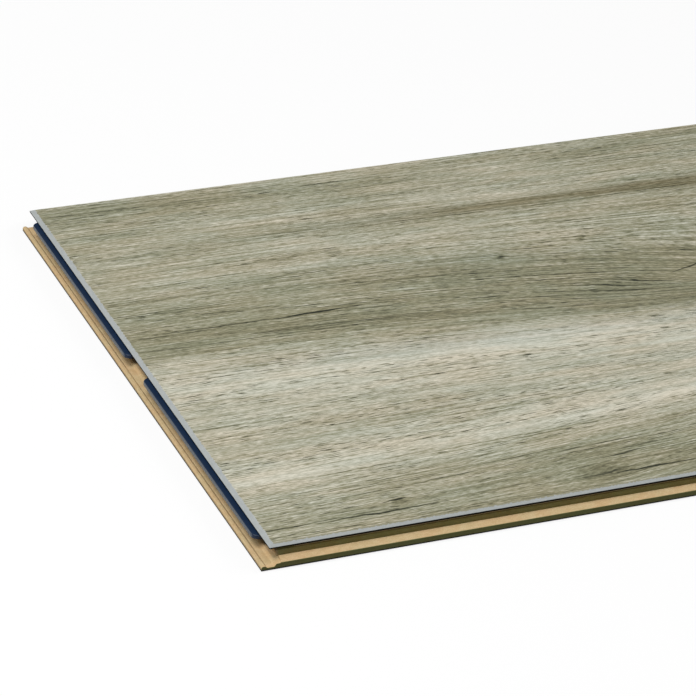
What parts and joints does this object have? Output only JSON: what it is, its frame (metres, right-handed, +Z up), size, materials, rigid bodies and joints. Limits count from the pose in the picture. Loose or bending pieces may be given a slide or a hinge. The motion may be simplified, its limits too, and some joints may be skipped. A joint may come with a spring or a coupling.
{
  "type": "laminate floor plank",
  "caption": "Laminate floor plank with a grey oak decor, painted bevels, milled click edges on every side and sprung plastic tongues in one short end.",
  "frame": {"origin": "bottom centre of the whole outline, lips and tongue included", "axes": "+X along the plank towards the end that folds down, +Y across it towards the edge with the wooden tongue, +Z up through the decor"},
  "size_m": [1.3836, 0.2506, 0.007],
  "materials": {
    "fibreboard": "matte",
    "decor": "satin",
    "backing": "matte",
    "tongue_plastic": "matte"
  },
  "bodies": {
    "root": {"core_board": "fibreboard", "decor_sheet": "decor", "backing_sheet": "backing", "locking_tongue_front": "tongue_plastic", "locking_tongue_back": "tongue_plastic"}
  },
  "joints": []
}
